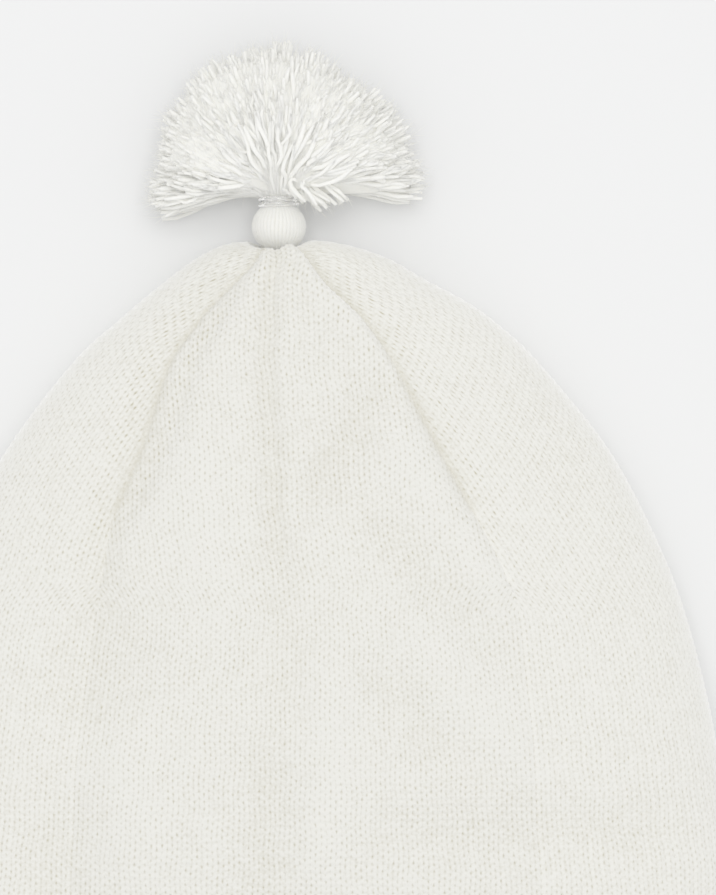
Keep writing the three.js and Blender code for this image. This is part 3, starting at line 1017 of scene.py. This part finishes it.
    def inside(self) -> Surface:
        """The wall's inner face, from the end of the turned-in hem to the gathered tip."""
        form = self.form
        start = form.hem_depth - 1.0
        rest = np.arange(start + 1.5, self.surface.length - 14, 3.0)
        run = np.concatenate([[start, start], rest])
        share = np.linspace(0, 1, self.INSIDE_STEPS, endpoint=False)
        grid = np.broadcast_to(share, (len(run), self.INSIDE_STEPS))
        points, normals = self.surface.read(run[:, None], grid)
        depth = np.full(len(run), form.wall)
        depth[0] = form.hem_wall - 0.2
        points = points - normals * depth[:, None, None]
        steps = self.INSIDE_STEPS
        quads = ring_faces(len(run), steps)[:-steps, [0, 3, 2, 1]]
        last = np.arange(steps) + (len(run) - 1) * steps
        tip = points[-1].mean(axis=0)
        tris = np.stack([last, np.full(steps, len(run) * steps), np.roll(last, -1)], axis=1)
        flat = np.concatenate([points.reshape(-1, 3), tip[None]])
        courses = np.broadcast_to(run[:, None] / self.knit.course, grid.shape)
        uv = np.stack([grid * self.INSIDE_WALES, courses], axis=-1)
        uv = np.concatenate([uv.reshape(-1, 2), uv[-1, :1]])
        return Surface(flat, quads, tris, uv, {"border": np.full(len(flat), self.knit.far_border)})

    def fuzz(self) -> Surface:
        """Fine fibres that stand off the knit, seeded, most of them near flat along it."""
        count = self.knit.fuzz_count
        run = self.rng.uniform(0, self.surface.length - 3, count)
        share = self.rng.uniform(-0.32, 0.32, count)
        points, normals = self.surface.read(run, share)
        ways = unit(np.cross(normals, self.rng.normal(0, 1, (count, 3))))
        ways = ways + normals * self.rng.uniform(0.05, 0.8, (count, 1))
        ways = ways * self.rng.uniform(0.6, 2.0, (count, 1))
        bends = self.rng.normal(0, 0.5, (count, 3))
        return fibres(points - normals * 0.1, ways, bends, self.knit.fuzz_diameter)

    def build(self, material: Material, fluff: Material) -> None:
        """Makes the crown's pieces and hands each to the frame."""
        pieces = [self.gore(side).build(f"crown_{side.name.lower()}", material) for side in Side]
        pieces.append(self.inside().build("crown_inside", material))
        pieces.append(self.fuzz().build("crown_fuzz", fluff))
        for piece in pieces:
            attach(piece, "root")
        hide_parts("crown")


class Tassel:
    """The tassel: a yarn-wrapped ball, a clear binding round its neck and a fan of strands.

    WAVES are the waves along a strand, as turns in its length and usual size in millimetres.
    """

    WAVES = ((1.1, 0.5), (2.7, 0.26))

    def __init__(self, surface: CrownSurface, sizes: TasselSizes) -> None:
        """Works out where the tassel's parts start, out from the crown's tip."""
        form = surface.form
        self.sizes = sizes
        self.base = np.array([form.tip_shift, form.tip_y(sizes), form.tip_height])
        self.head_y = sizes.seat_clearance
        self.neck_y = self.head_y + sizes.head_length
        self.skirt_y = self.neck_y + sizes.neck_length
        self.rng = np.random.default_rng(sizes.seed)

    def head(self) -> Surface:
        """The ball: yarns laid side by side from pole to neck, each with two plies that twist."""
        s = self.sizes
        rows, per_yarn, neck_rows = 44, 6, 5
        radius, neck = s.head_diameter / 2, s.neck_diameter / 2
        low = -math.pi / 2 * 0.97
        high = math.acos((neck - 0.1) / radius)
        angle = np.linspace(low, high, rows)
        y = np.interp(np.sin(angle), [math.sin(low), math.sin(high)], [-0.8, s.head_length])
        neck_end = s.head_length + s.neck_length + 0.2
        neck_y = np.linspace(s.head_length, neck_end, neck_rows + 1)[1:]
        y = np.concatenate([y, neck_y]) + self.head_y
        ring = np.concatenate([radius * np.cos(angle), np.full(neck_rows, neck - 0.15)])
        steps = s.head_yarns * per_yarn
        turn = np.linspace(0, 2 * np.pi, steps, endpoint=False)[None, :]
        sway = 0.12 * np.sin(y[:, None] * 0.7 + turn * 3)
        across = (turn * s.head_yarns / (2 * np.pi) + sway) % 1
        lens = np.sqrt(np.clip(1 - (2 * across - 1) ** 2, 0, 1))
        lift = np.clip(ring / radius, 0, 1)[:, None]
        r = ring[:, None] - 0.12 * lift + s.head_bulge * lens * lift
        points = np.stack([r * np.sin(turn), y[:, None] + 0 * r, r * np.cos(turn)], axis=-1)
        ends = np.array([[0, y[0], 0], [0, y[-1], 0]])
        uv = np.stack([across, y[:, None] / s.ply_pitch + 0 * across], axis=-1)
        # tone here is painted shade in the grooves between the ball's yarns, and darkest at its two
        # end points
        return closed_tube(points + self.base, ends + self.base, uv, 0.9 * (1 - lens), 1.0)

    def binding(self) -> Surface:
        """The clear thread: turns side by side round the neck, each closed into a ring."""
        s = self.sizes
        thick = s.thread_diameter / 2
        radius = s.neck_diameter / 2 + thick * 0.75
        around, sides = 64, 12
        turn = np.linspace(0, 2 * np.pi, around, endpoint=False)[:, None]
        side = np.linspace(0, 2 * np.pi, sides, endpoint=False)[None, :]
        rings, quads = [], []
        for number in range(s.thread_turns):
            r = radius + thick * np.cos(side)
            y = self.neck_y + (number + 0.5) * s.thread_diameter + thick * np.sin(side)
            y = y + 0.18 * np.sin(turn + number * 2.0)
            ring = np.stack([r * np.sin(turn), y + 0 * r, r * np.cos(turn)], axis=-1)
            quads.append(ring_faces(around, sides) + number * around * sides)
            rings.append(ring.reshape(-1, 3) + self.base)
        return Surface(np.concatenate(rings), np.concatenate(quads), np.empty((0, 3), int))

    def _strand_paths(self) -> tuple[Array, Array]:
        """Centre lines of the strands as (strands, points, 3), and the share of length at each point.

        A strand has an angle across the fan, spread evenly by the golden ratio, and a rise. A few
        dip from the neck to the table. The others rise, the higher ones first steeply and then
        levelling out, so that they cover the lower ones like thatch. Locks pull the strands
        together, each with its own length. The last few strands curl.
        """
        s = self.sizes
        count = s.strand_count
        number = np.arange(count)
        rises = [s.lowest_rise, -0.3, s.highest_rise]
        rise = np.interp((number + 0.5) / count, [0, 0.12, 1], rises)
        opening = np.interp(rise, [0.1, s.highest_rise], [s.low_opening, s.high_opening])
        across = (number * (math.sqrt(5) - 1) / 2) % 1 * 2 - 1
        angle = across * opening + s.fan_turn + self.rng.normal(0, 2.0, count)
        place = angle / s.lock_width + s.lock_shift * rise
        lock = np.round(place).astype(int)
        angle = np.radians(angle + (lock - place) * s.lock_width * s.lock_pull)
        lengths = 1 + self.rng.uniform(-0.045, 0.03, s.most_locks)[lock + s.most_locks // 2]
        level = np.sqrt(1 - rise**2)
        way = np.stack([level * np.sin(angle), level * np.cos(angle), rise * s.strand_spread], axis=1)
        reach = s.strand_reach * self._span(angle) * (1 - 0.1 * np.maximum(rise, 0))
        uneven = np.clip(self.rng.normal(0, 0.04, count), -0.1, 0.03)
        reach = reach * lengths * (s.usual_length + uneven)
        up = np.maximum(rise, 0)[:, None] * [[0.0, 0.0, 1.0]]
        start_way = way + up * 0.25 + [[0.0, 0.4, 0.0]]
        end_way = way * [[1.0, 1.0, 0.3]] - [[0.0, 0.0, 0.12]]
        curl = slice(count - s.curl_count, count)
        side = self.rng.uniform(0, 1, s.curl_count)
        lift = self.rng.uniform(0.0, 0.3, s.curl_count)
        way[curl] = np.stack([0.14 + 0.4 * side, -0.07 * np.sin(np.pi * side), lift], axis=1)
        level = np.ones(s.curl_count)
        start_way[curl] = np.stack([0.6 + 0.4 * side, 0.5 * level, 0.3 + lift], axis=1)
        end_way[curl] = np.stack([0.9 - 0.5 * lift, -0.7 * level, -0.3 * level], axis=1)
        return self._bent(way, start_way, end_way, reach)

    def _span(self, angle: Array) -> Array:
        """How far the fan reaches at an angle from its middle, as a share of the full reach."""
        left = np.maximum(0, -np.sin(angle)) ** 3
        right = np.clip(2 * np.sin(angle), 0, 1)
        return 1 - (1 - self.sizes.left_reach) * left - (1 - self.sizes.right_reach) * right

    def _bent(
        self, way: Array, start_way: Array, end_way: Array, reach: Array
    ) -> tuple[Array, Array]:
        """Centre lines as cubic curves that leave the neck one way and end another.

        Args:
            way: from the neck to the tip, in shares of reach.
            start_way: which way each leaves the neck.
            end_way: which way its tip points.
            reach: its length, in millimetres.

        Returns:
            Points as (strands, points, 3), none of them below the table, and the length's shares.
        """
        s = self.sizes
        count = len(way)
        thick = s.yarn_diameter / 2
        neck = self.base + np.array([0, self.skirt_y, 0])
        spot = way * [[1.0, 0.0, 1.0]]
        spot = spot / np.maximum(np.linalg.norm(way, axis=1, keepdims=True), 1e-6)
        root = neck + spot * (s.neck_diameter / 2 - thick * 0.6)
        tip = neck + way * reach[:, None]
        low = np.maximum(0, thick + 0.4 - tip[:, 2])
        tip[:, 1] += low * 0.5
        tip[:, 2] = np.maximum(tip[:, 2], thick + self.rng.uniform(0.0, 2.0, count))
        handle = s.handle_share * reach[:, None]
        after = root + unit(start_way) * handle
        before = tip - unit(end_way) * handle
        after += self.rng.normal(0, 0.6, (count, 3))
        before += self.rng.normal(0, 0.9, (count, 3))
        t = np.linspace(0, 1, s.strand_rows)[None, :, None]
        ends = (1 - t) ** 3 * root[:, None] + t**3 * tip[:, None]
        handles = 3 * t * (1 - t) ** 2 * after[:, None] + 3 * t**2 * (1 - t) * before[:, None]
        paths = ends + handles
        for turns, size in self.WAVES:
            start = self.rng.uniform(0, 2 * np.pi, (count, 1, 3))
            wave = np.sin(2 * np.pi * turns * t + start)
            paths = paths + wave * self.rng.normal(0, size, (count, 1, 3)) * t
        paths[..., 2] = np.maximum(paths[..., 2], thick)
        return paths, t[0, :, 0]

    def core(self) -> Surface:
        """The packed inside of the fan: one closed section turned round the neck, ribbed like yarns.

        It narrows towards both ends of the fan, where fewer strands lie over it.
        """
        s = self.sizes
        sections, sides = s.core_yarns * 4 + 1, 2 * len(CORE)
        angle = np.radians(np.linspace(-s.core_opening, s.core_opening, sections))[:, None]
        corner = np.linspace(0, len(CORE), sides, endpoint=False)
        numbers = np.arange(len(CORE) + 1)
        reach, height = (np.interp(corner, numbers, c) for c in zip(*CORE, CORE[0]))
        out = reach * s.strand_reach * self._span(angle) * s.core_reach
        low = np.interp(np.abs(angle), np.radians([72.0, s.core_opening]), [1.0, 0.4])
        sway = 0.35 * np.sin(reach * 11 + angle * 9)
        yarn = np.arange(sections)[:, None] / 4 + sway
        ridge = np.abs(np.sin(np.pi * yarn)) - 0.5
        z = s.core_middle + (height - s.core_middle) * low + 0.5 * ridge * reach
        x = out * np.sin(angle)
        y = out * np.cos(angle) + self.skirt_y + 0.4
        points = np.stack([x, y, np.maximum(z, 0.5)], axis=-1)
        points = points + self.base * [1, 1, 0]
        ends = np.stack([points[0].mean(axis=0), points[-1].mean(axis=0)])
        uv = np.stack([yarn, out / s.ply_pitch + 0 * yarn], axis=-1)
        # tone here is painted shade in the valleys between the ribs; the whole core is a little darker
        # than the strands
        return closed_tube(points, ends, uv, 0.3 - 0.3 * ridge + 0 * z, 0.0)

    def fray(self, paths: Array) -> Surface:
        """Fibres that spread from the cut end of every strand.

        Args:
            paths: centre lines of the strands.

        Returns:
            The fibres.
        """
        s = self.sizes
        ahead = np.repeat(unit(paths[:, -1] - paths[:, -3]), s.fray_fibres, axis=0)
        count = len(ahead)
        starts = np.repeat(paths[:, -1], s.fray_fibres, axis=0)
        starts = starts + self.rng.normal(0, s.yarn_diameter * 0.2, (count, 3)) - ahead * 0.4
        ways = ahead + self.rng.normal(0, 0.4, (count, 3))
        ways = ways * self.rng.uniform(0.6, 2.0, (count, 1))
        return fibres(starts, ways, self.rng.normal(0, 0.4, (count, 3)), s.fibre_diameter * 1.2)

    def fuzz(self, paths: Array) -> Surface:
        """Fibres that stand off the strands along their length.

        Args:
            paths: centre lines of the strands.

        Returns:
            The fibres.
        """
        s = self.sizes
        strand = np.repeat(np.arange(len(paths)), s.fuzz_fibres)
        count = len(strand)
        row = (self.rng.uniform(0.15, 1, count) ** 0.7 * (paths.shape[1] - 2)).astype(int)
        starts = paths[strand, row]
        ahead = unit(paths[strand, row + 1] - starts)
        aside = unit(np.cross(ahead, self.rng.normal(0, 1, (count, 3))))
        starts = starts + aside * s.yarn_diameter * 0.35
        ways = ahead * self.rng.uniform(0.3, 1.5, (count, 1)) + aside
        ways = ways * self.rng.uniform(0.5, 1.3, (count, 1))
        return fibres(starts, ways, self.rng.normal(0, 0.4, (count, 3)), s.fibre_diameter)

    def strands(self, paths: Array, t: Array) -> Surface:
        """The fan: each strand is a round tube that thins out at its root and its tip.

        Args:
            paths: centre lines of the strands.
            t: share of the length at each of their points.

        Returns:
            The strands, with the share round the yarn and the turns of its plies as their UV map.
        """
        s = self.sizes
        count, rows, _ = paths.shape
        sides = 4
        ahead = np.gradient(paths, axis=1)
        length = np.cumsum(np.linalg.norm(ahead, axis=2), axis=1)
        ahead = unit(ahead)
        fixed = np.cross(ahead[:, rows // 2], self.rng.normal(0, 1, (count, 3)))
        first = unit(fixed[:, None] - ahead * np.sum(ahead * fixed[:, None], axis=2, keepdims=True))
        thin = np.interp(t, [0, 0.2, 0.7, 0.93, 1], [0.75, 1.0, 1.1, 1.2, 0.85])
        width = self.rng.uniform(0.85, 1.15, (count, 1, 1, 1)) * s.yarn_diameter / 2
        radius = thin[None, :, None, None] * width
        tips = paths[:, -1] + ahead[:, -1] * 0.15
        flat = tube_points(paths, ahead, first, radius, sides, tips)
        flat[:, 2] = np.maximum(flat[:, 2], 0)
        own = self.rng.uniform(0, 0.25, (count, 1))
        tone = np.concatenate([own + np.zeros((1, rows * sides)), own, own], axis=1)
        turns = np.repeat(length / s.ply_pitch, sides, axis=1)
        turns = np.concatenate([turns, turns[:, :1], turns[:, -1:]], axis=1)
        shares = np.concatenate([np.tile(np.arange(sides) / sides, rows), [0, 0]])
        uv = np.stack([np.broadcast_to(shares, turns.shape), turns], axis=-1).reshape(-1, 2)
        quads, tris = tube_faces(rows, sides, count)
        return Surface(flat, quads, tris, uv, {"tone": tone.ravel()}, s.strand_lean)

    def build(self, yarn: Material, ball: Material, thread: Material) -> None:
        """Makes the tassel's pieces and hands each to the frame."""
        paths, t = self._strand_paths()
        made = (
            (self.head(), "tassel_head", ball),
            (self.binding(), "tassel_binding", thread),
            (self.strands(paths, t), "tassel_skirt", yarn),
        )
        for surface, node, material in made:
            piece = surface.build(f"{node}_yarn", material)
            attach(piece, "root")
            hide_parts(node)
        loose = (
            ("tassel_core", self.core()),
            ("tassel_fray", self.fray(paths)),
            ("tassel_fuzz", self.fuzz(paths)),
        )
        for name, surface in loose:
            piece = surface.build(name, yarn)
            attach(piece, "root")


@dataclass(frozen=True)
class Lamp:
    """A square soft box, in metres and watts, and the place it faces."""

    name: str
    place: Triple
    aim: Triple
    size: float
    power: float


LAMPS = (
    Lamp("overhead", (0.02, 0.32, 1.65), (0.0, 0.02, 0.0), 0.8, 10.9),
    Lamp("fill", (0.02, -0.8, 1.5), (0.0, 0.06, 0.0), 0.9, 1.2),
)


@dataclass(frozen=True)
class Studio:
    """The camera, the table top and the light, in metres and in pixels of the photo's frame."""

    frame_width: int = 716
    frame_height: int = 895
    pixels_per_mm: float = 5.2
    tip_pixel: tuple[float, float] = (306.0, 250.0)
    outline_height: float = 0.011
    distance: float = 1.6
    sensor: float = 36.0
    floor_reach: float = 4.0
    surround: float = 0.63
    gamma: float = 1.8

    def camera(self, tip_y: float) -> None:
        """A long lens straight above, so that the crown's tip falls on tip_pixel.

        Args:
            tip_y: Y of the crown's tip, in millimetres.
        """
        aim_x = (self.frame_width / 2 - self.tip_pixel[0]) / self.pixels_per_mm
        aim_y = tip_y - (self.frame_height / 2 - self.tip_pixel[1]) / self.pixels_per_mm
        half = self.frame_height / self.pixels_per_mm / 2 * MM
        data = bpy.data.cameras.new("camera")
        data.sensor_fit = "AUTO"
        data.sensor_width = self.sensor
        data.lens = self.sensor / 2 * (self.distance - self.outline_height) / half
        data.clip_start = 0.05
        camera = linked("camera", data)
        camera.location = (aim_x * MM, aim_y * MM, self.distance)
        bpy.context.scene.camera = camera

    def floor(self, material: Material) -> None:
        """A wide flat top at z = 0."""
        reach = self.floor_reach
        corners = [(-reach, -reach, 0), (reach, -reach, 0), (reach, reach, 0), (-reach, reach, 0)]
        mesh = bpy.data.meshes.new("floor")
        mesh.from_pydata(corners, [], [(0, 1, 2, 3)])
        mesh.materials.append(material)
        floor = linked("floor", mesh)

    def light(self, lamp: Lamp) -> None:
        """Hangs a soft box and turns it to its aim."""
        data = bpy.data.lights.new(lamp.name, "AREA")
        data.shape = "SQUARE"
        data.size = lamp.size
        data.energy = lamp.power
        box = linked(lamp.name, data)
        box.location = lamp.place
        way = Vector(lamp.aim) - Vector(lamp.place)
        box.rotation_euler = way.to_track_quat("-Z", "Y").to_euler()

    def world(self) -> None:
        """An even pale surround."""
        world = bpy.data.worlds.new("surround")
        world.use_nodes = True
        background = world.node_tree.nodes["Background"]
        background.inputs["Color"].default_value = (1.0, 1.0, 1.0, 1)
        background.inputs["Strength"].default_value = self.surround
        bpy.context.scene.world = world

    def build(self, tip_y: float) -> None:
        """Sets all of it up for a crown whose tip is at tip_y, in millimetres."""
        settings = bpy.context.scene.view_settings
        settings.view_transform = "Standard"
        settings.gamma = self.gamma
        self.camera(tip_y)
        self.floor(FloorFinish().build("table_top"))
        self.world()
        for lamp in LAMPS:
            self.light(lamp)


def main() -> None:
    """Builds the studio and the cap around the frame."""
    logging.basicConfig(level=logging.INFO, format="%(name)s: %(message)s")
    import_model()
    tassel_sizes = TasselSizes()
    surface = CrownSurface(CrownForm(), tassel_sizes)
    Studio().build(surface.form.tip_y(tassel_sizes))

    yarn = YarnFinish().build("white_yarn")
    KnitCrown(surface, Knit()).build(KnitFinish().build("white_knit"), yarn)
    wound = YarnFinish((0.88, 0.875, 0.825), (0.68, 0.66, 0.56), 0.08, spread=0.002)
    thread = ThreadFinish().build("clear_thread")
    Tassel(surface, tassel_sizes).build(yarn, wound.build("wound_yarn"), thread)


if __name__ == "__main__":
    main()
